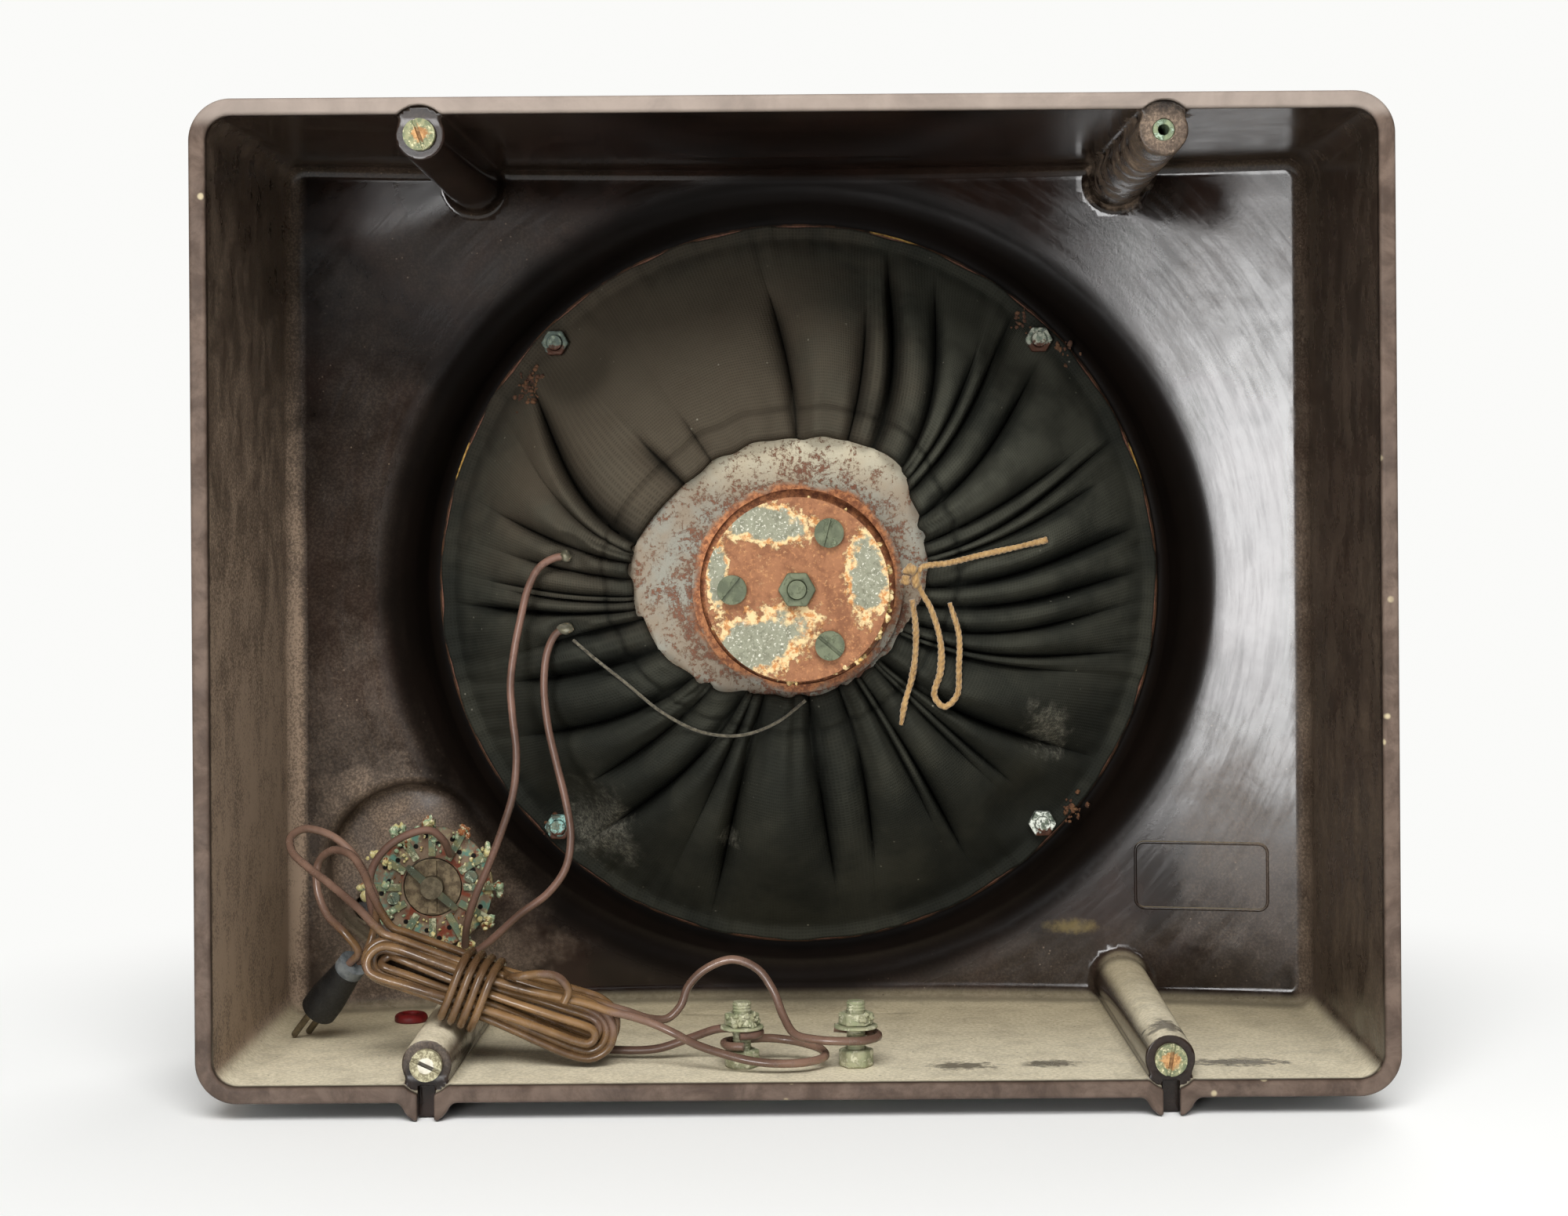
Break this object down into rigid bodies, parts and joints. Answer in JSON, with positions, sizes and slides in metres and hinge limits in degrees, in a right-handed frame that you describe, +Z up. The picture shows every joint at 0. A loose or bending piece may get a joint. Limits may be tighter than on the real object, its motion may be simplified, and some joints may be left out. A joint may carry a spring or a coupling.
{
  "type": "wired relay loudspeaker",
  "caption": "Open-backed moulded loudspeaker cabinet with a bowed front, a bagged moving coil speaker, a rotary selector, terminal studs and a hank of line lead ending in a small plug.",
  "frame": {"origin": "middle of the box, on the surface that the two runners stand on", "axes": "+Z up, +X to the right as seen from the open back, +Y from the open back towards the grille"},
  "size_m": [0.3, 0.1338, 0.2545],
  "materials": {
    "bakelite": "dark brown moulded phenolic, worn to a dull gloss, dusty inside",
    "knob_bakelite": "dark moulded phenolic, polished",
    "patina_brass": "brass with green patina",
    "nickel": "dull nickel plate with green and brown spots",
    "basket_steel": "grey painted sheet steel with rust spots",
    "rusty_iron": "rusted iron with remains of zinc plate",
    "magnet_alloy": "dark cast alloy",
    "card": "yellowed pressed card",
    "grille_cloth": "brown woven grille cloth",
    "cone_paper": "dark pressed paper",
    "spider_cloth": "varnished cloth",
    "coil_copper": "enamelled copper wire on brown paper",
    "bag_cloth": "near black gathered cotton, dusty and rust stained",
    "jute": "twisted jute string",
    "thread_cotton": "grey cotton thread",
    "board": "brown resin bonded board",
    "wafer_board": "resin bonded wafer, corroded green",
    "tin": "tinned metal, corroded",
    "wire_cover": "brown glossy wire covering",
    "plug_rubber": "black moulded rubber",
    "collar_grey": "grey moulded rubber",
    "grommet_rubber": "dark red rubber"
  },
  "bodies": {
    "root": {"cabinet": "bakelite", "cover_inserts": "patina_brass", "cover_screws": "nickel", "grille_cloth": "grille_cloth", "speaker_gasket": "card", "speaker_basket": "basket_steel", "speaker_bolts": "nickel", "speaker_nuts": "nickel", "magnet_pot": "rusty_iron", "magnet": "magnet_alloy", "pole_plate": "rusty_iron", "pole_piece": "rusty_iron", "pot_screws": "patina_brass", "core_bolt": "patina_brass", "core_nut": "patina_brass", "surround": "cone_paper", "spider": "spider_cloth", "tag_strip": "board", "solder_tags": "tin", "dust_bag": "bag_cloth", "bag_rim": "bag_cloth", "drawstring": "jute", "drawstring_tail": "jute", "switch_bush": "patina_brass", "dial_plate": "nickel", "switch_nut": "nickel", "detent_spring": "tin", "switch_spacers": "basket_steel", "switch_ties": "patina_brass", "switch_wafer": "wafer_board", "switch_contacts": "tin", "terminal_studs": "patina_brass", "terminal_lower_nuts": "patina_brass", "terminal_washers": "patina_brass", "cable_grommet": "grommet_rubber", "speaker_lead_upper": "wire_cover", "speaker_lead_lower": "wire_cover", "switch_feed": "wire_cover", "line_a_to_stud": "wire_cover", "line_b_to_stud": "wire_cover", "hank_a": "wire_cover", "hank_b": "wire_cover", "hank_tie": "wire_cover", "line_a_to_plug": "wire_cover", "line_b_to_plug": "wire_cover", "plug_body": "plug_rubber", "plug_collar": "collar_grey", "plug_pins": "patina_brass", "loose_thread": "thread_cotton"},
    "selector": {"knob": "knob_bakelite", "knob_screw": "nickel", "switch_shaft": "nickel", "switch_rotor": "wafer_board", "index_wheel": "patina_brass"},
    "cone": {"cone": "cone_paper", "dust_cap": "cone_paper", "coil_former": "coil_copper", "voice_coil": "coil_copper"},
    "left_nut": {"terminal_nut_left": "patina_brass"},
    "right_nut": {"terminal_nut_right": "patina_brass"}
  },
  "joints": [
    {"name": "selector_turn", "type": "hinge", "parent": "root", "child": "selector", "pos_m": [-0.104, 0, 0.045], "axis": [0, -1, 0], "range_deg": [0, 150]},
    {"name": "cone_travel", "type": "slide", "parent": "root", "child": "cone", "axis": [0, 1, 0], "range_m": [-0.001, 0.001], "stiffness_N_per_m": 2000},
    {"name": "left_nut_turn", "type": "hinge", "parent": "root", "child": "left_nut", "pos_m": [-0.0146, -0.04585, 0.0209], "axis": [0, 0, 1], "continuous": true},
    {"name": "right_nut_turn", "type": "hinge", "parent": "root", "child": "right_nut", "pos_m": [0.0146, -0.04585, 0.0209], "axis": [0, 0, 1], "continuous": true}
  ]
}
